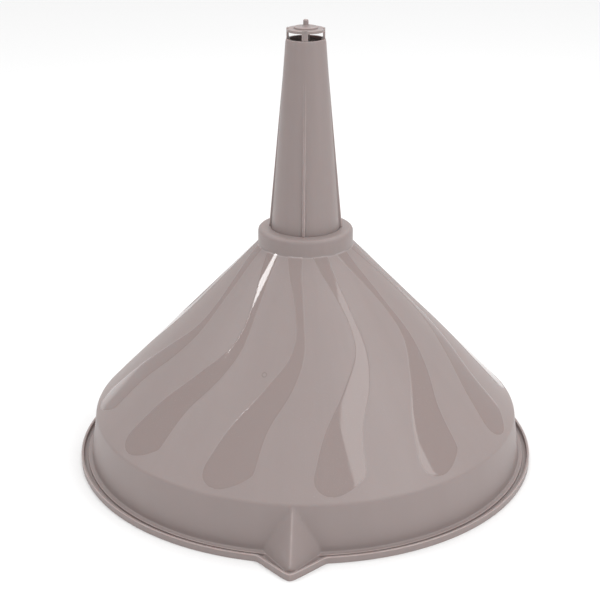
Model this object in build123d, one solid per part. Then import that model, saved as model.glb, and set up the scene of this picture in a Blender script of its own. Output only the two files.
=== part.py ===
from build123d import *
import os
from math import atan, sin

# A plastic funnel for filling bottles, cans and tanks, standing on the rim of its bowl with the
# spout upwards. Millimetres. The origin is on the funnel's axis in the plane of the rim, +Z points
# up the spout, and the pouring lip points along -Y.

# ---- bowl ----
rim_r = 120.0                # outside of the upturned edge round the rim
rim_edge_wall = 1.3
rim_edge_top = 3.4
rim_floor = 1.0              # floor of the groove inside the edge
ledge_r = 116.4              # step between the groove and the skirt
ledge_top = 2.4
foot_r = 114.2               # outside of the skirt at the ledge
crease_r = 111.0             # the corner between skirt and cone
crease_z = 25.4
wall = 1.8
mouth_r = foot_r - wall - 0.4
collar_r = 24.2
collar_bottom_z = 115.5      # where the cone meets the collar
collar_top_z = 124.0
collar_round = 2.4
collar_plate = 1.8           # the collar's top plate, which the spout passes through
socket_r = collar_r - wall   # the bore inside the collar

# ---- pouring lip, a three-sided beak on the skirt with the rim's edge carried round it ----
beak_ridge_r = 132.6         # the ridge at the ledge's height
beak_half_width = 13.6       # half the beak where it leaves the skirt, at the ledge's height
beak_ridge_round = 1.5
beak_wall = 1.6
beak_back_r = 104.0          # the beak's solid starts this far in, inside the skirt
lip_start_x = 16.3           # where the rim's edge leaves its circle
lip_point_r = 136.2          # where the two straight runs of the edge would meet
lip_point_round = 4.0
lip_start_round = 3.0

# ---- spout ----
spout_base_r = 17.4          # outside of the tube at the collar's top
spout_end_z = 219.4
spout_tip_r = 9.9            # outside of the tube just below its chamfered end
spout_chamfer_h = 1.2
spout_end_r = 9.55
spout_wall = 1.3
spout_gap = 0.35             # between the tube and the hole in the collar's plate
cage_seat_r = 8.55           # the straight bore at the end, which holds the outlet cage
cage_seat_h = 7.4
flange_r = 22.3
flange_h = 2.0
seal_h = 1.2
seal_in_r = 18.95
rib_width = 1.4
rib_proud = 1.1              # how far a vent rib stands out at the collar's top
rib_end_z = 202.0            # where the rib has run out into the tube
rib_count = 4

# ---- strainer ----
strainer_r = 22.3
strainer_bottom_z = 115.2
window_r = 19.2              # inside of the frame's ring
gauze_z = 117.4              # the face that the gauze lies on
gauze_h = 0.4
gauze_r = 20.9
clamp_clearance = 0.03
spoke_width = 2.0
spoke_h = 1.8
hub_r = 3.2
hub_bottom_z = 112.5
stem_r = 1.8
knob_r = 4.5
knob_h = 3.0
knob_bottom_z = 102.5

# ---- outlet cage ----
cap_r = 9.35
cap_bottom_z = 222.8
cap_h = 1.35
boss_r = 5.9
boss_h = 1.0
nub_r = 1.3
nub_top_z = 228.5
nub_flare = 0.7
leg_width = 3.0
leg_wall = 1.0
leg_head = 0.4               # how far a leg's end stands above the cap's edge
leg_count = 4
sleeve_r = 8.5
sleeve_in_r = 7.5
sleeve_bottom_z = 213.4
sleeve_top_z = 216.8

rest_gap = 0.05              # between faces of separate pieces that rest on each other


def revolved(points):
    """The solid that a closed outline of (r, z) points sweeps round the Z axis."""
    outline = Polyline(*[(r, 0, z) for r, z in points], close=True)
    return revolve(make_face(outline), Axis.Z, 360)


def tube(outer_r, inner_r, z0, z1):
    """A straight ring between two heights."""
    ring = Circle(outer_r) - Circle(inner_r)
    return Pos(0, 0, z0) * extrude(ring, z1 - z0)


def disc(r, z0, z1):
    """A round plate between two heights."""
    return Pos(0, 0, z0) * extrude(Circle(r), z1 - z0)


def cross(a, b, c, d):
    """The (r, z) point where the line through a and b meets the line through c and d."""
    slope_ab = (b[1] - a[1]) / (b[0] - a[0])
    slope_cd = (d[1] - c[1]) / (d[0] - c[0])
    r = (c[1] - a[1] + slope_ab * a[0] - slope_cd * c[0]) / (slope_ab - slope_cd)
    return (r, a[1] + slope_ab * (r - a[0]))


# ---- the bowl's inner and outer lines ----
cone_slope = atan((collar_bottom_z - crease_z) / (crease_r - collar_r))
cone_inset = wall / sin(cone_slope)
inner_skirt = [(mouth_r, ledge_top), (crease_r - wall, crease_z)]
inner_cone = [(crease_r - cone_inset, crease_z), (collar_r - cone_inset, collar_bottom_z)]
inner_crease = cross(*inner_skirt, *inner_cone)
socket_floor = cross(*inner_cone, (socket_r, 0), (socket_r + 1e-6, 1000))
plate_bottom_z = collar_top_z - collar_plate
below = -2.0                 # cuts start this far under the rim


def rim_outline():
    """The rim's edge seen along the axis: a circle with the lip's point, its corners rounded."""
    lip_start_y = -(rim_r**2 - lip_start_x**2) ** 0.5
    point = Polyline(
        (-lip_start_x, lip_start_y), (0, -lip_point_r), (lip_start_x, lip_start_y), (0, -beak_back_r), close=True
    )
    outline = Circle(rim_r) + make_face(point)
    corners = outline.vertices().filter_by_position(Axis.Y, -lip_point_r - 1, -rim_r + 3)
    tip = corners.sort_by(Axis.Y)[0]
    outline = fillet([tip], lip_point_round)
    starts = [v for v in outline.vertices() if abs(abs(v.X) - lip_start_x) < 0.01]
    return fillet(starts, lip_start_round)


def beak(shift, z0, z1):
    """The beak's wedge between two heights. Its section is a triangle that shrinks upwards along
    the ridge, which runs from the rim's point to the crease. A shift along +Y gives its inside."""
    ridge_slope = (beak_ridge_r - crease_r) / (crease_z - ledge_top)
    start_y = (foot_r**2 - beak_half_width**2) ** 0.5
    spread = beak_half_width / (beak_ridge_r - start_y)
    sections = []
    for z in (z0, z1):
        ridge = beak_ridge_r - (z - ledge_top) * ridge_slope
        half = (ridge - beak_back_r) * spread
        triangle = Polyline((0, -ridge), (half, -beak_back_r), (-half, -beak_back_r), close=True)
        sections.append(Pos(0, shift, z) * make_face(triangle))
    wedge = loft(sections, ruled=True)
    ridge_edge = wedge.edges().filter_by(lambda e: abs(e.center().X) < 0.01 and e.length > z1 - z0).sort_by(Axis.Y)[0]
    return fillet([ridge_edge], beak_ridge_round)


def make_bowl():
    """Cone, skirt, rim, pouring lip and collar: one moulding."""
    edge = rim_outline()
    edge_inside = offset(edge, amount=-rim_edge_wall)
    rim = extrude(edge, rim_edge_top) - Pos(0, 0, rim_floor) * extrude(edge_inside, rim_edge_top)
    rim += disc(ledge_r, 0, ledge_top)

    skirt_and_cone = revolved(
        [
            (0, 0),
            (foot_r, 0),
            (foot_r, ledge_top),
            (crease_r, crease_z),
            (collar_r, collar_bottom_z),
            (collar_r, collar_top_z),
            (0, collar_top_z),
        ]
    )
    collar_edge = skirt_and_cone.edges().filter_by(GeomType.CIRCLE).sort_by(Axis.Z)[-1]
    skirt_and_cone = fillet([collar_edge], collar_round)

    beak_wall_shift = beak_wall / face_normal_y()
    shell = rim + skirt_and_cone + beak(0, rim_floor / 2, crease_z)
    hollow = revolved(
        [
            (0, below),
            (mouth_r, below),
            (mouth_r, ledge_top),
            inner_crease,
            socket_floor,
            (socket_r, plate_bottom_z),
            (0, plate_bottom_z),
        ]
    )
    shell -= hollow
    shell -= beak(beak_wall_shift, below, crease_z)

    hole = disc(spout_base_r + spout_gap, plate_bottom_z - 1, collar_top_z + 1)
    slot_depth = spout_base_r + rib_proud + spout_gap
    for i in range(rib_count):
        slot = Box(slot_depth, rib_width + 2 * spout_gap, 6, align=(Align.MIN, Align.CENTER, Align.CENTER))
        hole += Rot(0, 0, i * 360 / rib_count) * Pos(0, 0, collar_top_z) * slot
    return shell - hole


def face_normal_y():
    """How much of the beak's face normal points along Y, which turns a wall into a shift."""
    start_y = (foot_r**2 - beak_half_width**2) ** 0.5
    spread = beak_half_width / (beak_ridge_r - start_y)
    along = Vector(spread, 1, 0)
    up_ridge = Vector(0, beak_ridge_r - crease_r, crease_z - ledge_top)
    return abs(along.cross(up_ridge).normalized().Y)


# ---- the spout's lines ----
spout_draft = (spout_base_r - spout_tip_r) / (spout_end_z - spout_chamfer_h - collar_top_z)
seal_top_z = plate_bottom_z - rest_gap
flange_top_z = seal_top_z - seal_h
flange_bottom_z = flange_top_z - flange_h


def tube_r(z):
    """Outside radius of the tapered tube at a height."""
    return spout_base_r - spout_draft * (z - collar_top_z)


def make_spout():
    """The tapered tube with its flange at the bottom and four vent ribs outside."""
    seat_z = spout_end_z - cage_seat_h
    lead_z = seat_z - 2.0
    body = revolved(
        [
            (tube_r(flange_bottom_z) - spout_wall, flange_bottom_z),
            (flange_r, flange_bottom_z),
            (flange_r, flange_top_z),
            (tube_r(flange_top_z), flange_top_z),
            (spout_tip_r, spout_end_z - spout_chamfer_h),
            (spout_end_r, spout_end_z),
            (cage_seat_r, spout_end_z),
            (cage_seat_r, seat_z),
            (tube_r(lead_z) - spout_wall, lead_z),
        ]
    )
    bite = 0.6                   # the ribs run this far into the tube's wall
    rib_r = spout_base_r + rib_proud
    rib_low_r = rib_r + (rib_r - tube_r(rib_end_z)) / (rib_end_z - collar_top_z) * (collar_top_z - flange_top_z)
    rib_outline = Polyline(
        (tube_r(flange_top_z) - bite, 0, flange_top_z),
        (rib_low_r, 0, flange_top_z),
        (tube_r(rib_end_z), 0, rib_end_z),
        (tube_r(rib_end_z) - bite, 0, rib_end_z),
        close=True,
    )
    rib = extrude(make_face(rib_outline), rib_width / 2, both=True)
    for i in range(rib_count):
        body += Rot(0, 0, i * 360 / rib_count) * rib
    return body


def make_strainer_frame():
    """Ring, spokes, hub and the knob that lifts the strainer out: one moulding."""
    frame = tube(strainer_r, window_r, strainer_bottom_z, flange_bottom_z - 2 * rest_gap)
    frame -= disc(gauze_r + 0.1, gauze_z, flange_bottom_z)
    spoke_z = gauze_z - spoke_h / 2
    for angle in (0, 90):
        bar = Box(2 * window_r + 1, spoke_width, spoke_h)
        frame += Rot(0, 0, angle) * Pos(0, 0, spoke_z) * bar
    frame += disc(hub_r, hub_bottom_z, gauze_z)
    frame += disc(stem_r, knob_bottom_z + knob_h / 2, hub_bottom_z)
    knob = disc(knob_r, knob_bottom_z, knob_bottom_z + knob_h)
    knob = fillet(knob.edges(), knob_h / 3)
    frame += knob
    root = [e for e in frame.edges().filter_by(GeomType.CIRCLE) if abs(e.center().Z - strainer_bottom_z) < 0.01]
    return chamfer([e for e in root if e.radius > window_r + 1], 0.6)


def make_strainer_gauze():
    """The woven disc that lies on the frame's spokes."""
    return disc(gauze_r, gauze_z, gauze_z + gauze_h)


def make_strainer_clamp_ring():
    """The ring pressed in over the gauze's edge."""
    ring_r = gauze_r + 0.1 - clamp_clearance
    return tube(ring_r, window_r, gauze_z + gauze_h, flange_bottom_z - 3 * rest_gap)


def make_spout_seal():
    """Flat ring between the spout's flange and the collar's plate."""
    return tube(flange_r - 0.2, seal_in_r, flange_top_z, seal_top_z)


def make_outlet_cage():
    """The cap over the outlet, on four legs whose sleeve plugs into the tube's end."""
    cap_top_z = cap_bottom_z + cap_h
    cap = disc(cap_r, cap_bottom_z, cap_top_z)
    cap = fillet(cap.edges().sort_by(Axis.Z)[-1:], 0.2)
    boss = disc(boss_r, cap_top_z - 0.2, cap_top_z + boss_h)
    cap += fillet(boss.edges().sort_by(Axis.Z)[-1:], 0.6)
    nub = disc(nub_r, cap_top_z, nub_top_z)
    cap += fillet(nub.edges().sort_by(Axis.Z)[-1:], 0.8)
    foot = cap_top_z + boss_h
    cap += Pos(0, 0, foot + nub_flare / 2) * Cone(nub_r + nub_flare, nub_r, nub_flare)
    cage = cap + tube(sleeve_r, sleeve_in_r, sleeve_bottom_z, sleeve_top_z)
    shoulder_z = spout_end_z + rest_gap
    leg_in_r = cap_r - leg_wall
    legs = revolved(
        [
            (sleeve_in_r, sleeve_bottom_z),
            (sleeve_r, sleeve_bottom_z),
            (sleeve_r, shoulder_z),
            (cap_r, shoulder_z),
            (cap_r, cap_top_z + leg_head),
            (leg_in_r, cap_top_z + leg_head),
            (leg_in_r, shoulder_z + 0.9),
            (sleeve_in_r, shoulder_z),
        ]
    )
    slab = Box(leg_width, cap_r + 1, 30, align=(Align.CENTER, Align.MAX, Align.MIN))
    slab = Pos(0, 0, sleeve_bottom_z - 5) * slab
    for i in range(leg_count):
        cage += legs & (Rot(0, 0, i * 360 / leg_count) * slab)
    return cage


NODES = {
    "bowl": make_bowl,
    "spout": make_spout,
    "spout_seal": make_spout_seal,
    "strainer_frame": make_strainer_frame,
    "strainer_gauze": make_strainer_gauze,
    "strainer_clamp_ring": make_strainer_clamp_ring,
    "outlet_cage": make_outlet_cage,
}

os.makedirs("parts", exist_ok=True)
for name, make in NODES.items():
    export_step(make(), f"parts/{name}.step")
    print("wrote", name)
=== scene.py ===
# %% [markdown]
# # A plastic funnel standing on its rim
# The funnel is a handful of mouldings: a wide bowl with a pouring lip, a long tapered spout pushed
# through its collar, a small cage over the outlet, and a strainer inside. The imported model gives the
# big sizes and every place, so it is loaded first and nothing in it is moved. What is made here are
# finer skins for the same pieces, with the roundings, panels and weave that a quick solid leaves out.

import bmesh
import bpy
import numpy as np
from mathutils import Matrix, Vector


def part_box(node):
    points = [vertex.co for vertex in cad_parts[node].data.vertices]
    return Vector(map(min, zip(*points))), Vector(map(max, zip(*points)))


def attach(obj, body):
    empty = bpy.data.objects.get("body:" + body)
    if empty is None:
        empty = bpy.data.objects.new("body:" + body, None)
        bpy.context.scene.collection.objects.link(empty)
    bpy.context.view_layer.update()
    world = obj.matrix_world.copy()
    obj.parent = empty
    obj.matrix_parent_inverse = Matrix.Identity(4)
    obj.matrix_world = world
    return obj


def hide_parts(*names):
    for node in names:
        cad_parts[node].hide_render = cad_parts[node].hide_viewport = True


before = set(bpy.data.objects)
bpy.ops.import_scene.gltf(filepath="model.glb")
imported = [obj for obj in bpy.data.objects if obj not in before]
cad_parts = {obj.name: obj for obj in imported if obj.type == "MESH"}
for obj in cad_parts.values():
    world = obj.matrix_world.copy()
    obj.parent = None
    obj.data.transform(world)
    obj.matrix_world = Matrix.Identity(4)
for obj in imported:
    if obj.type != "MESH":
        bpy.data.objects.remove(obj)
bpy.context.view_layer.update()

# %% [markdown]
# ## The funnel's own measurements
# All lengths are in metres. The big ones are read from the model's boxes: the rim's radius, the collar's
# top, the tube's end. The others are the moulding's details, written once here with the words that a
# mould maker would use, so that each surface below can be a short formula.

# %% Measurements
MM = 0.001


def reach(node):
    """Half of a node's width across X, and its lowest and highest Z."""
    low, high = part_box(node)
    return (high.x - low.x) / 2, low.z, high.z


rim_r = round(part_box("bowl")[1].y, 4)
_, _, collar_top = reach("bowl")
flange_r, flange_bottom, tube_end = reach("spout")
cap_r, sleeve_bottom, nub_top = reach("outlet_cage")

rim_edge_wall = 1.3 * MM
rim_edge_top = 3.4 * MM
groove_floor = 1.0 * MM
ledge_r = 116.4 * MM
ledge_top = 2.4 * MM
foot_r = 114.2 * MM
mouth_r = 112.0 * MM
crease_r = 111.0 * MM
crease_z = 25.4 * MM
wall = 1.8 * MM
collar_r = 24.2 * MM
collar_bottom = 115.5 * MM
collar_round = 2.4 * MM
socket_r = collar_r - wall
print("rim radius", rim_r, "collar top", round(collar_top, 4), "tube end", round(tube_end, 4))

# %% [markdown]
# ## Meshes from whole arrays
# A moulded funnel is almost all turned surfaces, so each skin is a stack of rings: one array of radii and
# one of heights, a row for each ring and a column for each direction round the axis. Two neighbouring
# rows make a belt of quads. Where the number of columns has to change, as between the plain inside and the
# detailed outside, two rings are zipped together with triangles. Arrays are quicker than a loop over
# vertices, and the formula stays readable.

# %% Rings, belts and zips


def ring_stack(radius, height, angle):
    """Points of a stack of rings. radius, height and angle broadcast to (rows, columns), and angle 0
    points along -Y and grows towards +X, so x = r sin(angle) and y = -r cos(angle)."""
    r, z, a = np.broadcast_arrays(radius, height, angle)
    return np.stack([r * np.sin(a), -r * np.cos(a), z], axis=-1)


def belts(rows, columns, first, closed_rows=False):
    """Quads between neighbouring rings of a stack whose vertices start at number first. The columns
    always close round the axis; the rows close too for a ring-shaped solid."""
    row = np.arange(rows if closed_rows else rows - 1)[:, None]
    column = np.arange(columns)[None, :]
    above = (row + 1) % rows
    beside = (column + 1) % columns
    here, there = row * columns, above * columns
    quad = np.broadcast_arrays(here + column, here + beside, there + beside, there + column)
    return first + np.stack(quad, -1).reshape(-1, 4)


def zipped(angle_a, first_a, angle_b, first_b):
    """Triangles that join two rings with different columns. Both rings are read from where the first
    one starts, and their angles are merged in order: each step advances one ring by one vertex and makes
    one triangle with the other ring's vertex."""
    full = 2 * np.pi
    a_turn = angle_a - angle_a[0]
    b_turn = (angle_b - angle_a[0]) % full
    b_start = np.argmin(b_turn)
    b_turn = np.roll(b_turn, -b_start)
    step = np.concatenate([np.append(a_turn[1:], full), np.append(b_turn[1:], full + b_turn[0])])
    a_moves = (np.arange(len(step)) < len(a_turn))[np.argsort(step, kind="stable")]
    a_before = np.concatenate([[0], np.cumsum(a_moves)[:-1]])
    b_before = np.concatenate([[0], np.cumsum(~a_moves)[:-1]])
    a = first_a + a_before % len(a_turn)
    b = first_b + (b_before + b_start) % len(b_turn)
    a_next = first_a + (a_before + 1) % len(a_turn)
    b_next = first_b + (b_before + 1 + b_start) % len(b_turn)
    return np.stack([a, b, np.where(a_moves, a_next, b_next)], -1)


def rounded_line(points, radii, steps=4):
    """A (r, z) polyline with its inner corners rounded. Each rounding is a quadratic curve from one side
    to the other, which leaves each side at the given distance from the corner."""
    points = np.asarray(points, float)
    out = [points[:1]]
    for before, corner, after, radius in zip(points[:-2], points[1:-1], points[2:], radii):
        if radius == 0:
            out.append(corner[None])
            continue
        back = (before - corner) / np.linalg.norm(before - corner)
        on = (after - corner) / np.linalg.norm(after - corner)
        t = np.linspace(0, 1, steps + 1)[:, None]
        start, end = corner + back * radius, corner + on * radius
        out.append(start * (1 - t) ** 2 + 2 * corner * t * (1 - t) + end * t**2)
    out.append(points[-1:])
    return np.concatenate(out)


def filled(line, spacing):
    """The same polyline with extra points, so that no step is longer than spacing."""
    length = np.linalg.norm(np.diff(line, axis=0), axis=1)
    parts = [
        a + (b - a) * np.linspace(0, 1, max(1, int(np.ceil(d / spacing))), endpoint=False)[:, None]
        for a, b, d in zip(line[:-1], line[1:], length)
    ]
    return np.concatenate(parts + [line[-1:]])


def new_piece(name, points, faces, body, node, sharp, slot):
    """A mesh object from arrays of points and faces, with normals outwards, smooth except at corners
    sharper than an angle in degrees. It rides on a body and takes the place of a node of the model."""
    mesh = bpy.data.meshes.new(name)
    sides = np.concatenate([np.full(len(f), f.shape[1]) for f in faces])
    loops = np.concatenate([f.reshape(-1) for f in faces])
    mesh.vertices.add(len(points))
    mesh.vertices.foreach_set("co", np.ascontiguousarray(points, np.float32).ravel())
    mesh.loops.add(len(loops))
    mesh.loops.foreach_set("vertex_index", loops.astype(np.int32))
    mesh.polygons.add(len(sides))
    mesh.polygons.foreach_set("loop_start", (np.cumsum(sides) - sides).astype(np.int32))
    mesh.update(calc_edges=True)
    tidy = bmesh.new()
    tidy.from_mesh(mesh)
    bmesh.ops.recalc_face_normals(tidy, faces=tidy.faces)
    tidy.to_mesh(mesh)
    tidy.free()
    mesh.shade_smooth()
    mesh.set_sharp_from_angle(angle=np.radians(sharp))
    piece = bpy.data.objects.new(name, mesh)
    bpy.context.scene.collection.objects.link(piece)
    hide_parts(node)
    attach(piece, body)
    print(f"{name}: {len(points)} points, {int((sides - 2).sum())} triangles")
    return piece


def smooth_curve(x, knots, values):
    """A smooth curve through a few points: a cubic in each gap, whose slope at each knot is the mean of
    the slopes on its two sides."""
    knots, values = np.asarray(knots, float), np.asarray(values, float)
    gap = np.diff(values) / np.diff(knots)
    slope = np.concatenate([gap[:1], (gap[:-1] + gap[1:]) / 2, gap[-1:]])
    i = np.clip(np.searchsorted(knots, x) - 1, 0, len(knots) - 2)
    width = knots[i + 1] - knots[i]
    t = np.clip((x - knots[i]) / width, 0, 1)
    start = values[i] * (2 * t**3 - 3 * t**2 + 1) + slope[i] * width * (t**3 - 2 * t**2 + t)
    end = values[i + 1] * (3 * t**2 - 2 * t**3) + slope[i + 1] * width * (t**3 - t**2)
    return start + end


# %% [markdown]
# ## The flame panels
# Twelve flames run down the cone. On the real mould each one is a polished area in a matt, finely
# textured surface, and stands a tenth of a millimetre proud. One outline serves all twelve: its middle
# line bends like an S, and its width swells from a thin wedge at the neck to a lopsided end above the
# crease. The mesh's columns follow that outline, so that its edge is crisp without a huge number of faces.

# %% Outline of one flame
flame_count = 12
flame_pitch = 2 * np.pi / flame_count
flame_end_r = 108.6 * MM
left_turns_in, right_turns_in = 101 * MM, 102.2 * MM
flame_relief = 0.12 * MM
flame_edge = 0.22 * MM
flame_turn = np.radians(3.0)
flame_tip = np.radians(-22.9)
middle_knots = np.array([24, 30, 38, 50, 60, 72, 86, 101, 109]) * MM
middle_degrees = np.array([-12.4, -9.6, -5.6, -2.8, -3.4, -9.6, -17.3, -20.55, -21.5])
half_knots = np.array([24, 30, 38, 50, 60, 72, 86, 101]) * MM
half_width = np.array([3.7, 3.1, 2.35, 1.85, 3.0, 6.3, 8.9, 12.3]) * MM
cone_lean = np.arctan2(collar_bottom - crease_z, crease_r - collar_r)
far_off = 4.0


def flame_sides(r):
    """Directions of a flame's left and right sides at a radius, without its end, in radians."""
    middle = np.radians(smooth_curve(r, middle_knots, middle_degrees))
    half = smooth_curve(np.minimum(r, half_knots[-1]), half_knots, half_width) / r
    return middle - half + flame_turn, middle + half + flame_turn


def closing(r, start, sharpness):
    """How far a side has turned in towards the tip: 1 - (1 - t^sharpness)^0.6, where t runs from 0 at
    the radius where the side starts to turn to 1 at the tip."""
    t = np.clip((r - start) / (flame_end_r - start), 0, 1)
    return 1 - (1 - t**sharpness) ** 0.6


def flame_outline(r):
    """Both sides with the end: the right one turns in early and nearly straight, the left one late."""
    left, right = flame_sides(r)
    tip = flame_tip + flame_turn
    left = left + (tip - left) * closing(r, left_turns_in, 3.0)
    right = right + (tip - right) * closing(r, right_turns_in, 1.25)
    return left, right


def flame_depth(r, angle):
    """How far inside the nearest flame a point is, in millimetres; negative outside. Each side's
    distance along the arc is turned into a distance across the side with the side's own slope."""
    step = 0.2 * MM
    run = step / np.cos(cone_lean)
    left, right = flame_outline(r)
    left_on, right_on = flame_outline(r + step)
    middle = (left + right) / 2
    local = (angle - middle + flame_pitch / 2) % flame_pitch - flame_pitch / 2 + middle
    lean_left = np.hypot(1, (left_on - left) * r / run)
    lean_right = np.hypot(1, (right_on - right) * r / run)
    inside = np.minimum((local - left) * r / lean_left, (right - local) * r / lean_right)
    past = (flame_end_r - r) / np.cos(cone_lean)
    return np.clip(np.minimum(inside, past) / MM, -far_off, far_off)


def smooth_step(x):
    """0 below 0, 1 above 1, and a smooth ramp between."""
    x = np.clip(x, 0, 1)
    return x * x * (3 - 2 * x)


# %% [markdown]
# ## The pouring lip
# On one side the skirt is drawn out into a three-sided beak, and the rim's upturned edge runs round it in
# a V. Seen from the axis both are simple: the distance to a straight line in direction a is
# p s / (|sin a| + s cos a), where p is how far out the V's point is and s its spread. Putting
# sqrt(sin a squared + e squared) in place of |sin a| rounds the point. The skin takes whichever is
# further out, the plain round shape or the V.

# %% The V in polar form
lip_point = 136.2 * MM
lip_start_x = 16.3 * MM
lip_round = 0.0127
beak_ridge = 132.6 * MM
beak_half = 13.6 * MM
beak_round = 0.006
beak_shift = 3.1 * MM
rim_blend, beak_blend = 1.2 * MM, 0.45 * MM
vee_reach = np.radians(20)


def spread_of(half, point, radius):
    """Tangent of the V's half angle, from where it leaves a circle to its point."""
    return half / (point - np.sqrt(radius**2 - half**2))


lip_spread = spread_of(lip_start_x, lip_point, rim_r)
beak_spread = spread_of(beak_half, beak_ridge, foot_r)


def vee(angle, point, spread, softness):
    """Distance from the axis to a V whose point lies along angle 0, rounded at its point."""
    a = (angle + np.pi) % (2 * np.pi) - np.pi
    reach_out = point * spread / (np.sqrt(np.sin(a) ** 2 + softness**2) + spread * np.cos(a))
    return np.where(np.abs(a) < vee_reach, reach_out, 0)


def soft_max(a, b, blend):
    """The larger of two lengths, with the corner between them rounded over about the blend length."""
    h = np.maximum(blend - np.abs(a - b), 0) / blend
    return np.maximum(a, b) + h * h * blend / 4


def rim_line(angle, inset):
    """The rim's outline, moved inwards by inset: a circle and the lip's V."""
    point = lip_point - inset / np.sin(np.arctan(lip_spread))
    return soft_max(rim_r - inset, vee(angle, point, lip_spread, lip_round), rim_blend)


def beak_line(angle, z, plain_r, shift=0.0):
    """The skirt with its beak at a height: the beak's ridge runs down and out from the crease."""
    ridge = beak_ridge - (z - ledge_top) * (beak_ridge - crease_r) / (crease_z - ledge_top) - shift
    return soft_max(plain_r, vee(angle, ridge, beak_spread, beak_round), beak_blend)


# %% [markdown]
# ## The bowl's skin
# The outside is built in three stacks, each with the columns it needs: the rim and skirt with close columns
# round the lip, the cone with columns that follow the flames, and the collar with columns at the four slots
# for the spout's ribs. The inside is a fourth, plain stack. Zips close the joints between them, so the
# bowl is one watertight shell with a real wall.

# %% Columns for each stack
lip_angles = np.radians(np.linspace(-9.6, 9.6, 97))
plain_angles = np.radians(np.linspace(9.6, 350.4, 268)[1:-1])
skirt_angles = np.concatenate([lip_angles, plain_angles])
inner_angles = np.concatenate([lip_angles[::2], plain_angles[::2]])

hole_r = 17.66 * MM
slot_r = 18.75 * MM
slot_half = np.arcsin(0.95 * MM / slot_r)
slot_columns = np.array([-1.6, -1.02, -0.98, -0.5, 0, 0.5, 0.98, 1.02, 1.6]) * slot_half
between_slots = np.linspace(slot_columns[-1], np.pi / 2 - slot_columns[-1], 42)[1:-1]
slot_sector = np.concatenate([slot_columns, between_slots])
collar_angles = np.concatenate([quarter * np.pi / 2 + slot_sector for quarter in range(4)])


def hole_line(angle):
    """The hole in the collar's plate: a circle with a straight-sided slot for each rib."""
    a = (angle + np.pi / 4) % (np.pi / 2) - np.pi / 4
    slot = np.minimum(slot_r, slot_half * slot_r / np.maximum(np.abs(np.sin(a)), 1e-6))
    return np.where(np.abs(a) < slot_half, np.maximum(hole_r, slot), hole_r)


# %% Rim and skirt
onto_cone = 6 * MM
cone_point = (crease_r - onto_cone, crease_z + onto_cone * np.tan(cone_lean))
skirt_line = rounded_line([(foot_r, ledge_top), (crease_r, crease_z), cone_point], [1.0 * MM], 5)
skirt_rows = filled(skirt_line[:-1], 2.4 * MM)
edge_round = 0.45 * MM
# The rows on the groove's floor and the ledge stay inside the rim's last row, a little further at each
# row, and the beak's lowest rows reach out by up to 0.6 mm, so that no two rows meet at the lip.
toe_reach, toe_end = -0.6 * MM, 0.5 * MM
nearest, furthest = 0.1 * MM, 1.0 * MM
rim_rows = rounded_line(
    [
        (0.0, 0.0),
        (0.0, rim_edge_top),
        (rim_edge_wall, rim_edge_top),
        (rim_edge_wall, groove_floor),
        (rim_edge_wall + 1.0 * MM, groove_floor),
    ],
    [edge_round, edge_round, 0.5 * MM],
)
rim_inset, rim_z = rim_rows.T
rim_radius = rim_line(skirt_angles[None, :], rim_inset[:, None])
foot_rows = rounded_line(
    [
        (ledge_r + 1.0 * MM, groove_floor),
        (ledge_r, groove_floor),
        (ledge_r, ledge_top),
        (foot_r, ledge_top),
        skirt_rows[1],
    ],
    [0.4 * MM, 0.35 * MM, 0.7 * MM],
)
outside_rows = np.concatenate([foot_rows[:-1], skirt_rows[1:]])
outside_r, outside_z = outside_rows.T
toe = np.minimum(np.linspace(toe_reach, toe_end, 2 * len(foot_rows)), 0)[: len(outside_rows)]
toe = np.pad(toe, (0, len(outside_rows) - len(toe)))
outside_radius = beak_line(skirt_angles[None, :], outside_z[:, None], outside_r[:, None], toe[:, None])
clearance = np.linspace(nearest, furthest, len(outside_rows))[:, None]
outside_radius = np.minimum(outside_radius, rim_radius[-1] - clearance)
skirt_stack = ring_stack(
    np.concatenate([rim_radius, outside_radius]),
    np.concatenate([rim_z, outside_z])[:, None],
    skirt_angles[None, :],
)
print("skirt rows", len(skirt_stack))

# %% Cone with flames
edge_steps, flame_steps, ground_steps = 2, 16, 20
sector_steps = [edge_steps, flame_steps, edge_steps, ground_steps]
dense_to_r = 99 * MM
dense_rows = np.linspace(skirt_rows[-1][0], dense_to_r, 30)[1:]
plain_rows = np.linspace(dense_to_r, collar_r, 74)[1:]
cone_r = np.concatenate([dense_rows, plain_rows])[:, None]
cone_z = crease_z + (crease_r - cone_r) * np.tan(cone_lean)
left, right = flame_sides(cone_r)
bevel = flame_edge / cone_r
stops = [left - bevel, left + bevel, right - bevel, right + bevel, left - bevel + flame_pitch]
sector = np.concatenate(
    [
        start + (end - start) * np.linspace(0, 1, steps, endpoint=False)
        for start, end, steps in zip(stops[:-1], stops[1:], sector_steps)
    ],
    axis=1,
)
cone_angles = np.concatenate([sector + k * flame_pitch for k in range(flame_count)], axis=1)
depth = flame_depth(cone_r, cone_angles)
rise = flame_relief * smooth_step(0.5 + depth * MM / (2 * flame_edge))
rise_r, rise_z = rise * np.sin(cone_lean), rise * np.cos(cone_lean)
cone_stack = ring_stack(cone_r + rise_r, cone_z + rise_z, cone_angles)
print("cone stack", cone_stack.shape)

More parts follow.
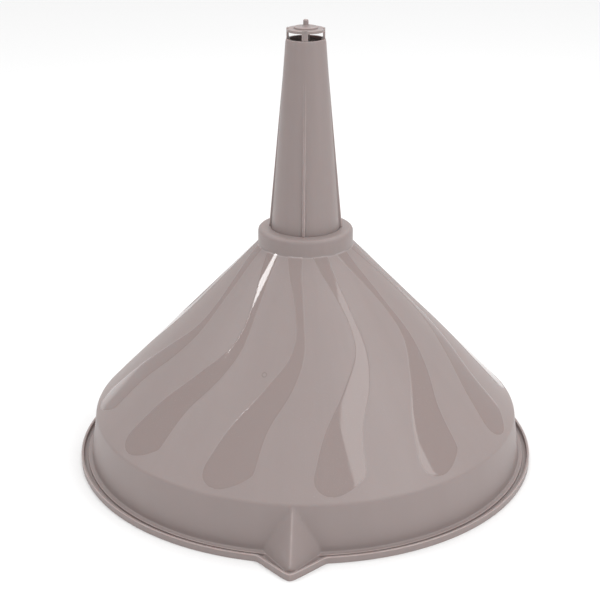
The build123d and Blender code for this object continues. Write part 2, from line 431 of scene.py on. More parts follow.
# %% Collar and inside
plate_bottom = collar_top - wall
collar_line = rounded_line(
    [
        (collar_r + 0.5 * MM, collar_bottom - 0.5 * MM * np.tan(cone_lean)),
        (collar_r, collar_bottom),
        (collar_r, collar_top),
        (slot_r + 0.8 * MM, collar_top),
    ],
    [0.5 * MM, collar_round],
    7,
)
collar_rows = filled(collar_line[1:], 1.2 * MM)
collar_stack = ring_stack(collar_rows[:, :1], collar_rows[:, 1:], collar_angles[None, :])
hole_rim = hole_line(collar_angles)[None, :]
hole_chamfer = 0.15 * MM
hole_z = np.array([collar_top, collar_top - hole_chamfer, plate_bottom])[:, None]
hole_radius = hole_rim + np.array([hole_chamfer, 0.0, 0.0])[:, None]
collar_stack = np.concatenate([collar_stack, ring_stack(hole_radius, hole_z, collar_angles[None, :])])

cone_inset = wall / np.sin(cone_lean)
inner_top_z = crease_z + (crease_r - cone_inset - socket_r) * np.tan(cone_lean)
inner_line = rounded_line(
    [
        (slot_r + 1.0 * MM, plate_bottom),
        (socket_r, plate_bottom),
        (socket_r, inner_top_z),
        (crease_r - 1.7 * MM, crease_z - 0.8 * MM),
        (mouth_r, ledge_top),
        (mouth_r, 0.0),
    ],
    [0.4 * MM, 0.4 * MM, 1.5 * MM, 0.5 * MM],
)
inner_rows = filled(inner_line, 5 * MM)
inner_r, inner_z = inner_rows.T
in_skirt = (inner_z < crease_z)[:, None]
inner_plain = np.broadcast_to(inner_r[:, None], (len(inner_r), len(inner_angles)))
inner_beak = beak_line(inner_angles[None, :], inner_z[:, None], inner_r[:, None], beak_shift)
inner_radius = np.where(in_skirt, inner_beak, inner_plain)
inner_stack = ring_stack(inner_radius, inner_z[:, None], inner_angles[None, :])

# %% Join the bowl's stacks
stacks = [skirt_stack, cone_stack, collar_stack, inner_stack]
starts = np.cumsum([0] + [s.shape[0] * s.shape[1] for s in stacks])
faces = [belts(s.shape[0], s.shape[1], first) for s, first in zip(stacks, starts)]


def row_start(stack, row):
    """Number of the first vertex in a row of a stack."""
    rows, columns = stacks[stack].shape[:2]
    return starts[stack] + (row % rows) * columns


zips = [
    (skirt_angles, row_start(0, -1), cone_angles[0], row_start(1, 0)),
    (cone_angles[-1], row_start(1, -1), collar_angles, row_start(2, 0)),
    (collar_angles, row_start(2, -1), inner_angles, row_start(3, 0)),
    (inner_angles, row_start(3, -1), skirt_angles, row_start(0, 0)),
]
faces += [zipped(*z) for z in zips]
bowl_points = np.concatenate([s.reshape(-1, 3) for s in stacks])
bowl = new_piece("bowl_skin", bowl_points, faces, "bowl", "bowl", 35, "bowl_plastic")
panel = np.full(len(bowl_points), -far_off, np.float32)
panel[starts[1] : starts[2]] = depth.ravel()
bowl.data.attributes.new("panel", "FLOAT", "POINT").data.foreach_set("value", panel)

# %% [markdown]
# ## The spout's skin
# The spout is one moulding: a flange at the bottom, a long tapered tube, and four thin ribs outside that
# hold a vent gap open in a bottle's neck. It could be a cylinder with four boxes joined to it, but then
# each rib would meet the tube in a hard line. Instead the outside is one stack of rings whose radius
# swells at each rib, with columns close together there, so the ribs have small fillets at their roots.

# %% Tube, ribs and flange
tube_base_r = 17.4 * MM
tube_tip_r = 9.9 * MM
tube_mouth_r = 9.55 * MM
tube_tip_z = tube_end - 1.2 * MM
tube_wall = 1.3 * MM
flange_top = flange_bottom + 2.0 * MM
seat_r = 8.55 * MM
seat_bottom = tube_end - 7.4 * MM
rib_count = 4
rib_proud = 1.1 * MM
rib_end_z = 202.0 * MM
rib_half = 0.7 * MM
rib_fillet = 0.18 * MM
rib_crown = 0.08
near_tube = 0.3 * MM


def tube_line(z):
    """Outside radius of the tapered tube at a height: a straight line from the collar to the tip."""
    return tube_base_r + (z - collar_top) * (tube_tip_r - tube_base_r) / (tube_tip_z - collar_top)


def bore_line(z):
    """Inside radius of the tube at a height."""
    return tube_line(z) - tube_wall


lead_z = seat_bottom - 2.0 * MM
outer_line = rounded_line(
    [
        (bore_line(flange_bottom + 5 * MM), flange_bottom + 5 * MM),
        (bore_line(flange_bottom), flange_bottom),
        (flange_r, flange_bottom),
        (flange_r, flange_top),
        (tube_line(flange_top), flange_top),
        (tube_tip_r, tube_tip_z),
        (tube_mouth_r, tube_end),
        (seat_r, tube_end),
        (seat_r, seat_bottom),
        (bore_line(lead_z), lead_z),
        (bore_line(flange_bottom + 8 * MM), flange_bottom + 8 * MM),
    ],
    np.array([0.3, 0.5, 0.5, 0.35, 0.8, 0.3, 0.25, 0.2, 0]) * MM,
)
spout_rows = filled(outer_line, 1.6 * MM)
spout_r, spout_z = spout_rows.T[:, :, None]
rib_columns = np.array([-1.3, -0.88, -0.79, -0.7, -0.61, -0.45, 0, 0.45, 0.61, 0.7, 0.79, 0.88, 1.3]) * MM
gap_columns = np.linspace(0, 1, 30)[1:-1]
rib_pitch = 2 * np.pi / rib_count
rib_turns = rib_columns / spout_r
gaps = rib_turns[:, -1:] + (rib_pitch - 2 * rib_turns[:, -1:]) * gap_columns
rib_sector = np.concatenate([rib_turns, gaps], axis=1)
spout_angles = np.concatenate([rib_sector + k * rib_pitch for k in range(rib_count)], axis=1)
across = np.abs(spout_r * np.sin((spout_angles + rib_pitch / 2) % rib_pitch - rib_pitch / 2))
off_tube = np.abs(spout_r - tube_line(spout_z))
outside = (spout_z > flange_top) & (off_tube < near_tube) & (spout_z < rib_end_z)
proud = np.where(outside, rib_proud * (rib_end_z - spout_z) / (rib_end_z - collar_top), 0)
rib_shape = smooth_step((rib_half + rib_fillet - across) / (2 * rib_fillet)) * np.clip(proud, 0, None)
crown = np.clip(1 - (across / rib_half) ** 2, 0, 1) * rib_crown * proud
spout_points = ring_stack(spout_r + rib_shape + crown, spout_z, spout_angles).reshape(-1, 3)
spout_faces = [belts(len(spout_rows), spout_angles.shape[1], 0, closed_rows=True)]
spout = new_piece("spout_skin", spout_points, spout_faces, "spout", "spout", 50, "spout_plastic")

# %% [markdown]
# ## Turned pieces and bars
# The small pieces inside and on top are made of two kinds of solid. A turned solid is a closed outline
# carried round the axis. A bar is a closed outline in the (r, z) plane carried sideways, with its ends
# pulled in a little so that every edge has a rounding that catches the light.

# %% Makers of turned solids and bars


def closed_line(outline, radii):
    """A closed outline with rounded corners, read from midway between its last and first points."""
    outline = np.asarray(outline, float)
    start = (outline[-1:] + outline[:1]) / 2
    return rounded_line(np.concatenate([start, outline, start]), radii, 3)[:-1]


def fans(rows, columns):
    """Triangles that close a stack's first and last rings, each round a pole. The two poles are the
    vertices that follow the rings."""
    column = np.arange(columns)
    beside = (column + 1) % columns
    last, pole = (rows - 1) * columns, np.full(columns, rows * columns)
    return [np.stack([pole, column, beside], -1), np.stack([pole + 1, last + beside, last + column], -1)]


def turned(points, radii, columns=96):
    """A ring: the closed (r, z) outline, with rounded corners, carried round the axis."""
    line = closed_line(points, np.array(radii) * MM)
    angle = np.linspace(0, 2 * np.pi, columns, endpoint=False)
    stack = ring_stack(line[:, :1], line[:, 1:], angle[None, :])
    return stack.reshape(-1, 3), [belts(len(line), columns, 0, closed_rows=True)]


def turned_solid(points, radii, columns=64):
    """A solid of revolution: the open (r, z) line from pole to pole, with a fan at each pole."""
    line = rounded_line(points, np.array(radii) * MM)[1:-1]
    angle = np.linspace(0, 2 * np.pi, columns, endpoint=False)
    stack = ring_stack(line[:, :1], line[:, 1:], angle[None, :]).reshape(-1, 3)
    poles = np.array([(0, 0, points[0][1]), (0, 0, points[-1][1])])
    return np.concatenate([stack, poles]), [belts(len(line), columns, 0), *fans(len(line), columns)]


def bar(outline, half_width, turn, edge=0.2 * MM, radii=0.3 * MM):
    """A closed (r, z) outline carried sideways from -half_width to half_width, in direction turn. The
    outline shrinks towards its middle over the last of each end, as a quarter circle does."""
    line = closed_line(outline, np.full(len(outline), radii))
    middle = line.mean(axis=0)
    size = np.abs(line - middle).max(axis=0)
    t = np.linspace(0, np.pi / 2, 4)
    pull = edge * (1 - np.cos(t))
    side = half_width - edge * (1 - np.sin(t))
    pull = np.concatenate([pull[::-1], pull])
    side = np.concatenate([-side[::-1], side])
    shrink = 1 - pull[:, None] / size
    section = middle + (line - middle)[None] * shrink[:, None, :]
    r, z = section[..., 0], section[..., 1]
    x = side[:, None] + 0 * r
    points = np.stack([x * np.cos(turn) + r * np.sin(turn), x * np.sin(turn) - r * np.cos(turn), z], -1)
    rows, columns = len(side), len(line)
    ends = points[[0, -1]].mean(axis=1)
    return np.concatenate([points.reshape(-1, 3), ends]), [belts(rows, columns, 0), *fans(rows, columns)]


def joined(*solids):
    """Several solids as one list of points and faces."""
    points, faces, first = [], [], 0
    for solid_points, solid_faces in solids:
        points.append(solid_points)
        faces += [f + first for f in solid_faces]
        first += len(solid_points)
    return np.concatenate(points), faces

# %% [markdown]
# ## The outlet cage
# A small cap stands over the spout's end on four legs, so that whatever the funnel is pushed into can't
# seal the outlet, and it keeps rags and leaves out. It is one moulding: a round cap with a raised boss and
# a gate nub, four legs, and a sleeve that plugs into the tube. Each is a closed solid that bites a little
# into its neighbour.

# %% Cap, legs and sleeve
cap_bottom = 222.8 * MM
cap_top = cap_bottom + 1.35 * MM
boss_top = cap_top + 1.0 * MM
boss_r = 5.9 * MM
nub_r = 1.3 * MM
nub_foot = nub_r + 0.7 * MM
sleeve_r, sleeve_in_r = 8.5 * MM, 7.5 * MM
sleeve_top = sleeve_bottom + 3.4 * MM
leg_half, leg_wall = 1.5 * MM, 1.0 * MM
leg_count = 4
leg_top = cap_top + 0.4 * MM
shoulder = tube_end + 0.05 * MM
cap = turned_solid(
    [
        (0, cap_bottom),
        (0.3 * MM, cap_bottom),
        (cap_r, cap_bottom),
        (cap_r, cap_top),
        (boss_r, cap_top),
        (boss_r, boss_top),
        (nub_foot, boss_top),
        (nub_r, boss_top + 0.7 * MM),
        (nub_r, nub_top),
        (0.1 * MM, nub_top),
        (0, nub_top),
    ],
    [0, 0.15, 0.2, 0.3, 0.6, 0.2, 0.3, 0.8, 0],
)
leg_line = [
    (sleeve_in_r + 0.1 * MM, sleeve_bottom + 0.2 * MM),
    (sleeve_r, sleeve_bottom + 0.2 * MM),
    (sleeve_r, shoulder),
    (cap_r, shoulder),
    (cap_r, leg_top),
    (cap_r - leg_wall, leg_top),
    (cap_r - leg_wall, shoulder + 0.9 * MM),
    (sleeve_in_r + 0.1 * MM, shoulder),
]
leg_turns = np.arange(leg_count) * 2 * np.pi / leg_count
legs = [bar(leg_line, leg_half, leg_turn, edge=0.25 * MM, radii=0.22 * MM) for leg_turn in leg_turns]
sleeve = turned(
    [
        (sleeve_in_r, sleeve_bottom),
        (sleeve_r, sleeve_bottom),
        (sleeve_r, sleeve_top),
        (sleeve_in_r, sleeve_top),
    ],
    [0.2, 0.35, 0.25, 0.2],
    columns=72,
)
cage_mesh = joined(cap, *legs, sleeve)
cage = new_piece("cage_skin", *cage_mesh, "outlet_cage", "outlet_cage", 50, "cage_plastic")

# %% [markdown]
# ## The strainer
# Inside the collar a round strainer keeps grit out of the tank. Its frame is a ring with a cross of spokes
# and a knob on a stem to lift it out by; a disc of brass wire cloth lies in the ring's rebate, and a second
# ring holds it down. Wire cloth is two families of wires at right angles, each going over one and under
# the next, so each wire's height is a cosine along its length, and its neighbour's is the same, reversed.

# %% Frame and clamp ring
strainer_r, frame_bottom, _ = reach("strainer_frame")
gauze_r, gauze_bottom, gauze_top = reach("strainer_gauze")
clamp_r, _, clamp_top = reach("strainer_clamp_ring")
window_r = 19.2 * MM
rebate_r = gauze_r + 0.1 * MM
frame_low = 115.2 * MM
frame_high = flange_bottom - 0.1 * MM
hub_r, hub_low = 3.2 * MM, 112.5 * MM
stem_r, knob_r, knob_high = 1.8 * MM, 4.5 * MM, frame_bottom + 3.0 * MM
hub_high = gauze_bottom - 0.02 * MM
spoke_half, spoke_high, spoke_bite = 1.0 * MM, 1.8 * MM, 0.5 * MM
frame_ring = turned(
    [
        (window_r, frame_low),
        (strainer_r, frame_low),
        (strainer_r, frame_high),
        (rebate_r, frame_high),
        (rebate_r, gauze_bottom),
        (window_r, gauze_bottom),
    ],
    [0.3, 0.6, 0.2, 0.15, 0.1, 0.1],
)
spoke_line = [
    (-window_r - spoke_bite, gauze_bottom - spoke_high),
    (window_r + spoke_bite, gauze_bottom - spoke_high),
    (window_r + spoke_bite, gauze_bottom),
    (-window_r - spoke_bite, gauze_bottom),
]
spokes = [bar(spoke_line, spoke_half, turn, edge=0.3 * MM, radii=0.1 * MM) for turn in (0, np.pi / 2)]
handle = turned_solid(
    [
        (0, frame_bottom),
        (0.3 * MM, frame_bottom),
        (knob_r, frame_bottom),
        (knob_r, knob_high),
        (stem_r, knob_high),
        (stem_r, hub_low),
        (hub_r, hub_low),
        (hub_r, hub_high),
        (0.3 * MM, hub_high),
        (0, hub_high),
    ],
    [0, 1.0, 1.0, 0.5, 0.6, 0.4, 0.2, 0],
)
frame_mesh = joined(frame_ring, *spokes, handle)
strainer = new_piece("strainer_frame_skin", *frame_mesh, "strainer", "strainer_frame", 50, "strainer_plastic")
clamp = turned(
    [(window_r, gauze_top), (clamp_r, gauze_top), (clamp_r, clamp_top), (window_r, clamp_top)],
    [0.2, 0.15, 0.25, 0.3],
)
clamp_ring = new_piece("clamp_ring_skin", *clamp, "strainer", "strainer_clamp_ring", 50, "strainer_plastic")

# %% Woven wire
wire_pitch, wire_thick = 1.3 * MM, 0.22 * MM
wire_lift = (gauze_top - gauze_bottom - wire_thick) / 2
rim_of_cloth = gauze_r - 0.15 * MM
place = np.arange(-15, 16) * wire_pitch
half_chord = np.sqrt(rim_of_cloth**2 - place**2)
along = np.linspace(-1, 1, 141)[None, :] * half_chord[:, None]
wave = np.cos(np.pi * along / wire_pitch + np.pi * np.arange(len(place))[:, None]) * wire_lift
wire_sides = 4
side = np.arange(wire_sides) * 2 * np.pi / wire_sides
middle_z = (gauze_top + gauze_bottom) / 2


def wires(height):
    """Wires along X: centre lines at each place in Y, with a four-sided section of one thickness."""
    x = np.broadcast_to(along[..., None], along.shape + (wire_sides,))
    y = place[:, None, None] + np.sin(side) * wire_thick / 2 + 0 * x
    z = middle_z + height[..., None] + np.cos(side) * wire_thick / 2
    return np.stack([x, y, z], -1)


def wire_faces(count, samples, first):
    """Quads along each wire and one quad over each end."""
    base = first + np.arange(count)[:, None, None] * samples * wire_sides
    here = base + np.arange(samples - 1)[None, :, None] * wire_sides
    there = here + wire_sides
    k = np.arange(wire_sides)
    beside = (k + 1) % wire_sides
    quads = np.stack(np.broadcast_arrays(here + k, here + beside, there + beside, there + k), -1)
    start = base[:, 0] + k[::-1]
    end = base[:, 0] + (samples - 1) * wire_sides + k
    return [quads.reshape(-1, 4), start.reshape(-1, 4), end.reshape(-1, 4)]


warp = wires(wave).reshape(-1, 3)
weft = wires(-wave)[..., [1, 0, 2]].reshape(-1, 3)
samples = along.shape[1]
cloth_points = np.concatenate([warp, weft])
cloth_faces = wire_faces(len(place), samples, 0) + wire_faces(len(place), samples, len(warp))
gauze = new_piece("wire_cloth", cloth_points, cloth_faces, "strainer", "strainer_gauze", 120, "gauze")

# %% [markdown]
# ## The seal
# A flat rubber ring between the spout's flange and the collar's plate stops the joint from weeping. It is
# a turned ring with small roundings, and it rides on the spout, which it was pushed over.

# %% Rubber ring
seal_r, seal_low, seal_high = reach("spout_seal")
seal_in_r = 18.95 * MM
seal = turned(
    [(seal_in_r, seal_low), (seal_r, seal_low), (seal_r, seal_high), (seal_in_r, seal_high)],
    [0.25, 0.25, 0.25, 0.25],
)
seal_ring = new_piece("seal_skin", *seal, "spout", "spout_seal", 50, "seal")

# %% [markdown]
# ## Where edges rub and catch a painted highlight
# Handling polishes and scuffs a moulding first at its outward corners, and the same corners are given a
# lighter colour as a painted highlight where ridges and rims catch light. A shader can't see those on its
# own, so each mesh gets an attribute: at every edge where the surface bends outwards, the angle between
# the two faces is divided by the distance between their middles, which is one over the rounding's radius.
# A vertex takes the largest value of its edges, scaled so that a half-millimetre rounding gives 1.

# %% Edge attribute


def read(items, name, width, kind=float):
    """One property of all of a mesh's edges, faces or loops, a row for each."""
    values = np.empty(len(items) * width, kind)
    items.foreach_get(name, values)
    return values.reshape(-1, width)


def mark_edges(piece, full_radius=0.5 * MM):
    """Write the edge attribute from the mesh's own curvature."""
    mesh = piece.data
    sides = read(mesh.polygons, "loop_total", 1, np.int32)[:, 0]
    order = np.argsort(read(mesh.loops, "edge_index", 1, np.int32)[:, 0], kind="stable")
    face_of = np.repeat(np.arange(len(sides)), sides)[order].reshape(-1, 2)
    normal, centre = [read(mesh.polygons, name, 3)[face_of] for name in ("normal", "center")]
    ends = read(mesh.edges, "vertices", 2, np.int32)
    apart = centre[:, 1] - centre[:, 0]
    bend = np.arccos(np.clip((normal[:, 0] * normal[:, 1]).sum(-1), -1, 1))
    outward = (apart * normal[:, 0]).sum(-1) < 0
    curvature = np.where(outward, bend / np.maximum(np.linalg.norm(apart, axis=-1), 1e-6), 0)
    value = np.zeros(len(mesh.vertices))
    np.maximum.at(value, ends, curvature[:, None] * full_radius)
    value = np.clip(value, 0, 1).astype(np.float32)
    mesh.attributes.new("edge", "FLOAT", "POINT").data.foreach_set("value", value)
    print(f"{piece.name}: {np.mean(value > 0.5):.1%} of points on a tight outward edge")


mouldings = [bowl, spout, cage, strainer, clamp_ring]
for piece in mouldings:
    mark_edges(piece)

# %% [markdown]
# ## Building shaders in code
# Each effect that several finishes share is a node group: it has named inputs and outputs, and it is
# built once. A small helper adds a node, sets its values and wires its inputs in one call, so that a
# material reads from top to bottom like a recipe.

# %% Node helpers
grain_depth = 0.02 * MM


def fill(tree, node, values):
    """Fill a node's inputs from numbers or other sockets."""
    for key, value in values.items():
        if isinstance(value, bpy.types.NodeSocket):
            tree.links.new(value, node.inputs[key])
        else:
            node.inputs[key].default_value = value


def add(tree, kind, values=None, output=0, **settings):
    """Add a node, set its settings, fill its inputs and return one of its outputs."""
    node = tree.nodes.new(kind)
    for name, value in settings.items():
        setattr(node, name, value)
    fill(tree, node, values or {})
    return node.outputs[output]


def attribute(tree, name):
    """The value of one of the mesh's own attributes."""
    return add(tree, "ShaderNodeAttribute", output="Fac", attribute_name=name)


def here_on(tree):
    """The place on the object, in metres."""
    return add(tree, "ShaderNodeTexCoord", output="Object")


def part_of(tree, vector, axis):
    """One of a vector's X, Y and Z, by number."""
    return add(tree, "ShaderNodeSeparateXYZ", {0: vector}, output=axis)


def noise(tree, vector, scale, detail, roughness=0.5):
    """A cloudy pattern from 0 to 1."""
    values = {"Vector": vector, "Scale": scale, "Detail": detail, "Roughness": roughness}
    return add(tree, "ShaderNodeTexNoise", values)


def maths(tree, operation, a, b=0.0, c=0.0):
    """One step of arithmetic."""
    return add(tree, "ShaderNodeMath", {0: a, 1: b, 2: c}, operation=operation)


def ramp(tree, value, low, high, to_low=0.0, to_high=1.0):
    """A smooth change from to_low to to_high while value goes from low to high."""
    return add(
        tree,
        "ShaderNodeMapRange",
        {"Value": value, "From Min": low, "From Max": high, "To Min": to_low, "To Max": to_high},
        interpolation_type="SMOOTHSTEP",
    )


def blended(tree, factor, a, b):
    """Mix two colours."""
    return add(tree, "ShaderNodeMix", {0: factor, 6: a, 7: b}, output=2, data_type="RGBA")


def bumpy(tree, height):
    """A normal that follows a height."""
    return add(tree, "ShaderNodeBump", {"Height": height, "Strength": 1.0, "Distance": grain_depth})


def new_material(name):
    """A new material, with its node tree and its main shader."""
    material = bpy.data.materials.new(name)
    material.use_nodes = True
    return material, material.node_tree, material.node_tree.nodes["Principled BSDF"]


def group(name, inputs, outputs):
    """A new node group with float inputs and their defaults, and float outputs."""
    tree = bpy.data.node_groups.new(name, "ShaderNodeTree")
    for title, default in inputs.items():
        socket = tree.interface.new_socket(title, in_out="INPUT", socket_type="NodeSocketFloat")
        socket.default_value = default
    for title in outputs:
        tree.interface.new_socket(title, in_out="OUTPUT", socket_type="NodeSocketFloat")
    start = tree.nodes.new("NodeGroupInput")
    end = tree.nodes.new("NodeGroupOutput")
    return tree, start.outputs, end.inputs


def use(tree, name, values):
    """Place a node group in a material with its own values, and return its outputs."""
    node = tree.nodes.new("ShaderNodeGroup")
    node.node_tree = bpy.data.node_groups[name]
    fill(tree, node, values)
    return node.outputs


# %% [markdown]
# ## Grain of a spark-eroded mould
# The satin parts of the funnel take their grain from the mould, whose steel was eroded by sparks into
# tiny overlapping craters. Two noises make it: a fine one at a third of a millimetre for the craters, and
# a slow one that makes the grain a little stronger here and weaker there.

# %% Grain group
tree, given, result = group("mould_grain", {"Size mm": 0.35, "Evenness": 0.7}, ["Height", "Fleck"])
here = here_on(tree)
per_metre = maths(tree, "DIVIDE", 1000.0, given["Size mm"])
craters = noise(tree, here, per_metre, 2.0, 0.6)
slow = noise(tree, here, 55.0, 2.0)
strength = ramp(tree, slow, 0.3, 0.7, 0.75, 1.0)
tree.links.new(maths(tree, "MULTIPLY", craters, strength), result["Height"])
tree.links.new(ramp(tree, craters, 0.3, given["Evenness"]), result["Fleck"])

# %% [markdown]
# ## Flow marks
# Plastic that fills a mould from one gate leaves faint streaks along its path: on the bowl they run
# straight down the cone from the collar. The pattern is a noise on (direction round the axis, height),
# finer round the axis than down it. To close the pattern at the back, the direction goes in as a point
# on a circle, not as an angle. A second noise adds faint clouds.

# %% Flow group
tree, given, result = group("flow_marks", {"Streaks": 9.0, "Length": 14.0, "Cloud size mm": 28.0}, ["Shade"])
here = here_on(tree)
x, y, z = [part_of(tree, here, axis) for axis in range(3)]
squares = maths(tree, "ADD", maths(tree, "MULTIPLY", x, x), maths(tree, "MULTIPLY", y, y))
from_axis = maths(tree, "MAXIMUM", maths(tree, "SQRT", squares), 0.001)
round_x = maths(tree, "MULTIPLY", maths(tree, "DIVIDE", x, from_axis), given["Streaks"])
round_y = maths(tree, "MULTIPLY", maths(tree, "DIVIDE", y, from_axis), given["Streaks"])
down = maths(tree, "MULTIPLY", z, given["Length"])
on_circle = add(tree, "ShaderNodeCombineXYZ", {0: round_x, 1: round_y, 2: down})
streak = noise(tree, on_circle, 1.0, 3.0, 0.55)
cloud = noise(tree, here, maths(tree, "DIVIDE", 1000.0, given["Cloud size mm"]), 3.0)
tree.links.new(maths(tree, "MULTIPLY_ADD", streak, 0.6, maths(tree, "MULTIPLY", cloud, 0.4)), result["Shade"])

# %% [markdown]
# ## Wear with a painted edge highlight, and dust
# Wear is the edge attribute made uneven by noise, so that a corner is scuffed more in places; the same mask
# also paints a lighter highlight along those corners. Dust settles on faces that look up: the mask is the
# upward part of the normal times a fine speckle. Both are kept faint, because the funnel is almost new.

# %% Wear and painted highlight group and dust group
# This group's mask is partly real wear and partly a painted highlight on outward edges.
tree, given, result = group("edge_wear_and_highlight", {"Amount": 0.5}, ["Mask"])
here = here_on(tree)
patches = noise(tree, here, 260.0, 4.0, 0.65)
rubbed_and_lit = ramp(tree, attribute(tree, "edge"), 0.25, 0.9)
worn_and_highlit = maths(tree, "MULTIPLY", rubbed_and_lit, ramp(tree, patches, 0.42, 0.68, 0.5, 1.0))
tree.links.new(maths(tree, "MULTIPLY", worn_and_highlit, given["Amount"]), result["Mask"])

tree, given, result = group("settled_dust", {"Amount": 0.3, "Speck mm": 0.6}, ["Mask"])
here = here_on(tree)
up = part_of(tree, add(tree, "ShaderNodeNewGeometry", output="Normal"), 2)
specks = noise(tree, here, maths(tree, "DIVIDE", 1000.0, given["Speck mm"]), 1.0)
film = noise(tree, here, 30.0, 3.0)
settled = maths(tree, "MULTIPLY", ramp(tree, specks, 0.62, 0.78), ramp(tree, film, 0.4, 0.7, 0.2, 1.0))
lying = maths(tree, "MULTIPLY", settled, ramp(tree, up, 0.35, 0.9))
tree.links.new(maths(tree, "MULTIPLY", lying, given["Amount"]), result["Mask"])

# %% [markdown]
# ## Moulded plastic
# Every moulding is the same warm grey polypropylene, so one recipe makes them all. Its colour is darker and
# warmer than it looks in the light, because the satin skin adds a white sheen of its own. Flow marks shift
# the colour a little, and wear and dust make it paler; on outward edges that paler colour is also a painted
# highlight. The grain goes to both roughness and bump. Thin plastic lets a little light through, and warm
# light most, which is the subsurface part. On the bowl, the panel attribute swaps the satin for the polished
# finish of the flames and gives them a darker colour, which is painted shade for the sheen they lack, and one
# faint ring is left by the mould.

# %% Plastic recipe
# The flames' darker grey is painted shade: the same plastic, darkened to stand in for the satin sheen their
# gloss lacks.
flame_shade_grey = (0.252, 0.198, 0.187, 1.0)
ring_brown = (0.12, 0.09, 0.08, 1.0)
dust_grey = (0.62, 0.6, 0.57, 1.0)
polished = 0.05
flow_shift = 0.015
mould_mark = (-16.2 * MM, -65.8 * MM, 70.2 * MM)
mark_r, mark_core, mark_width = 1.1 * MM, 0.15 * MM, 0.45 * MM


def marked_panels(tree, base, rough, height):
    """The bowl's own finish: the flames are polished, and darker as painted shade for the sheen they lack;
    the mould's mark is a shallow ring.
    """
    # The flame mask gives both the flames' real polished finish and their darker colour, which is painted
    # shade.
    flame_mask = ramp(tree, attribute(tree, "panel"), -0.12, 0.12)
    base = blended(tree, flame_mask, base, flame_shade_grey)
    rough = add(tree, "ShaderNodeMix", {0: flame_mask, 2: rough, 3: polished})
    grain_left = maths(tree, "SUBTRACT", 1.0, maths(tree, "MULTIPLY", flame_mask, 0.97))
    height = maths(tree, "MULTIPLY", height, grain_left)
    ends = {0: here_on(tree), 1: mould_mark}
    away = add(tree, "ShaderNodeVectorMath", ends, output=1, operation="DISTANCE")
    off_ring = maths(tree, "ABSOLUTE", maths(tree, "SUBTRACT", away, mark_r))
    ring = ramp(tree, off_ring, mark_core, mark_width, 1.0, 0.0)
    base = blended(tree, maths(tree, "MULTIPLY", ring, 0.3), base, ring_brown)
    height = maths(tree, "SUBTRACT", height, maths(tree, "MULTIPLY", ring, 2.0))
    return base, rough, height


def plastic(name, colour, roughness, grain_mm=0.3, wear_and_highlight=0.6, dust=0.12, streaks=9.0, panels=False):
    """A moulded plastic with a satin grain; with panels, it has the bowl's flames and mark too."""
    material, tree, shader = new_material(name)
    grain = use(tree, "mould_grain", {"Size mm": grain_mm})
    flow = use(tree, "flow_marks", {"Streaks": streaks})["Shade"]
    worn_and_highlit = use(tree, "edge_wear_and_highlight", {"Amount": wear_and_highlight})["Mask"]
    dusty = use(tree, "settled_dust", {"Amount": dust})["Mask"]
    low = [c * (1 - flow_shift) for c in colour[:3]] + [1.0]
    high = [c * (1 + flow_shift) for c in colour[:3]] + [1.0]
    base = blended(tree, ramp(tree, flow, 0.35, 0.65), low, high)
    rough = maths(tree, "MULTIPLY_ADD", grain["Fleck"], 0.06, roughness - 0.03)
    height = grain["Height"]
    if panels:
        base, rough, height = marked_panels(tree, base, rough, height)
    # This lighter edge colour is partly wear and partly a painted highlight where ridges and rims catch
    # light.
    edge_pale_and_highlight = [min(c * 1.5 + 0.04, 1) for c in colour[:3]] + [1.0]
    base = blended(tree, worn_and_highlit, base, edge_pale_and_highlight)
    base = blended(tree, dusty, base, dust_grey)
    rough = maths(tree, "MULTIPLY_ADD", dusty, 0.3, maths(tree, "MULTIPLY_ADD", worn_and_highlit, -0.3, rough))
    fill(tree, shader, {"Base Color": base, "Roughness": rough, "Normal": bumpy(tree, height)})
    fill(tree, shader, {"IOR": 1.49, "Specular IOR Level": 0.5, "Subsurface Weight": 0.15})
    fill(tree, shader, {"Subsurface Radius": (1.0, 0.35, 0.25), "Subsurface Scale": 2.5 * MM})
    print(name, "colour", np.round(colour[:3], 3).tolist(), "roughness", roughness)
    return material


def dress(piece, material):
    """Give a piece its material."""
    piece.data.materials.clear()
    piece.data.materials.append(material)


warm_grey = (0.282, 0.231, 0.222, 1.0)
dress(bowl, plastic("bowl_plastic", warm_grey, 0.46, grain_mm=0.35, wear_and_highlight=0.85, panels=True))
dress(spout, plastic("spout_plastic", warm_grey, 0.42, streaks=5.0))
dress(cage, plastic("cage_plastic", warm_grey, 0.42))
strainer_look = plastic("strainer_plastic", warm_grey, 0.42, dust=0.3)
dress(strainer, strainer_look)
dress(clamp_ring, strainer_look)

# %% [markdown]
# ## Brass wire and rubber
# The wire is drawn brass, gone a little brown where air has reached it: two colours mixed by a noise, and
# rougher where it is brown. The rubber is dull, nearly black, with fine chalky bloom.

# %% Brass and rubber
brass, tree, shader = new_material("gauze_brass")
tarnish = ramp(tree, noise(tree, here_on(tree), 180.0, 4.0), 0.4, 0.68)
bright_brass, brown_brass = (0.62, 0.43, 0.17, 1.0), (0.25, 0.15, 0.07, 1.0)
colour = blended(tree, tarnish, bright_brass, brown_brass)
rough = ramp(tree, tarnish, 0.0, 1.0, 0.26, 0.5)
fill(tree, shader, {"Base Color": colour, "Roughness": rough, "Metallic": 1.0})
dress(gauze, brass)

rubber, tree, shader = new_material("seal_rubber")
grain = use(tree, "mould_grain", {"Size mm": 0.25})
bloom = use(tree, "settled_dust", {"Amount": 0.5, "Speck mm": 0.3})["Mask"]
rubber_black, bloom_grey = (0.018, 0.018, 0.019, 1.0), (0.11, 0.11, 0.11, 1.0)
colour = blended(tree, bloom, rubber_black, bloom_grey)
rough = ramp(tree, grain["Fleck"], 0.0, 1.0, 0.62, 0.8)
fill(tree, shader, {"Base Color": colour, "Roughness": rough, "Normal": bumpy(tree, grain["Height"])})
dress(seal_ring, rubber)

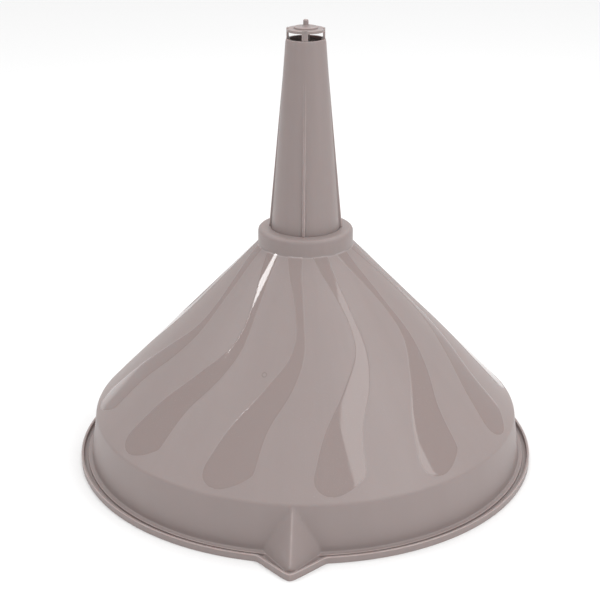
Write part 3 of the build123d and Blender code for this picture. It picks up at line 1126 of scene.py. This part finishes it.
# %% [markdown]
# ## The studio
# The funnel stands on a pale matt floor under soft light. A large softbox high on the right gives the
# flames their broad sheen, a small strip on the left gives one of them a crisp streak, one high behind
# lights the cone's top, and a weak one low on the right opens the skirt's shade. A pale sky fills in the
# rest: it is brightest overhead and a little darker low down at both sides.

# %% Floor
floor_mesh = bpy.data.meshes.new("studio_floor")
floor_angle = np.linspace(0, 2 * np.pi, 65)[:-1]
floor_r = 3.2
floor_points = [(floor_r * np.sin(a), -floor_r * np.cos(a), 0.0) for a in floor_angle]
floor_mesh.from_pydata(floor_points, [], [list(range(len(floor_points)))[::-1]])
floor = bpy.data.objects.new("studio_floor", floor_mesh)
bpy.context.scene.collection.objects.link(floor)
floor_look, tree, shader = new_material("studio_paper")
fibre = noise(tree, here_on(tree), 900.0, 3.0)
paper_low, paper_high = (0.80, 0.80, 0.80, 1.0), (0.84, 0.84, 0.84, 1.0)
fill(tree, shader, {"Base Color": blended(tree, fibre, paper_low, paper_high), "Roughness": 0.9})
floor_mesh.materials.append(floor_look)
print("floor radius", floor_r)

# %% Lights
scene = bpy.context.scene
turn = np.radians(3.0)


def softbox(name, place, along, width, height, radiance):
    """A rectangular light whose width runs along a direction and whose face looks at the funnel.
    Places and directions are as the camera has them, and turn with it. Its power in watts is pi times
    its area times the radiance it shows."""
    about = Matrix.Rotation(turn, 3, "Z")
    side = (about @ Vector(along)).normalized()
    spot = about @ Vector(place)
    back = spot - Vector((0, 0, 0.06))
    back = (back - back.dot(side) * side).normalized()
    facing = Matrix((side, back.cross(side), back)).transposed().to_4x4()
    light = bpy.data.objects.new(name, bpy.data.lights.new(name, "AREA"))
    scene.collection.objects.link(light)
    light.matrix_world = Matrix.Translation(spot) @ facing
    light.data.shape = "RECTANGLE"
    light.data.size, light.data.size_y = width, height
    light.data.energy = np.pi * width * height * radiance
    print(name, "at", np.round(spot, 3).tolist(), "watts", round(light.data.energy, 2))


softbox("key_softbox", (0.566, -0.341, 0.734), (0.632, 0.777, 0.072), 0.57, 0.36, 2.7)
softbox("left_strip", (-0.618, 0.022, 0.720), (-0.2, 1, 0), 0.11, 0.165, 13.0)
softbox("top_softbox", (0.10, 0.50, 0.95), (1, 0, 0), 0.7, 0.45, 2.2)
softbox("right_fill", (0.95, -0.62, 0.16), (0.55, 0.83, 0), 0.7, 0.3, 0.9)

world = bpy.data.worlds.new("studio")
scene.world = world
world.use_nodes = True
tree = world.node_tree
way = add(tree, "ShaderNodeTexCoord", output="Generated")
height = part_of(tree, way, 2)
low_sky = ramp(tree, height, 0.0, 0.3, 0.74, 0.84)
high_sky = ramp(tree, height, 0.35, 1.0, 0.0, 0.55)
aside = ramp(tree, maths(tree, "ABSOLUTE", part_of(tree, way, 0)), 0.3, 1.0, 0.0, 0.35)
shade = maths(tree, "MULTIPLY", aside, ramp(tree, height, 0.0, 0.6, 1.0, 0.0))
sky = maths(tree, "SUBTRACT", maths(tree, "ADD", low_sky, high_sky), shade)
fill(tree, tree.nodes["Background"], {"Strength": sky, "Color": (1, 1, 1, 1)})

# %% Camera
camera = bpy.data.objects.new("camera", bpy.data.cameras.new("camera"))
scene.collection.objects.link(camera)
scene.camera = camera
camera_out, camera_up = 5.394 * rim_r, 2.817 * rim_r
looks_down, looks_aside = np.radians(21.48), np.radians(0.25)
camera.location = (camera_out * np.sin(turn), -camera_out * np.cos(turn), camera_up)
camera.rotation_euler = (np.pi / 2 - looks_down, 0, turn + looks_aside)
camera.data.lens = 80.14
camera.data.sensor_width = 36
camera.data.clip_start, camera.data.clip_end = 0.01, 20
scene.view_settings.view_transform = "Standard"
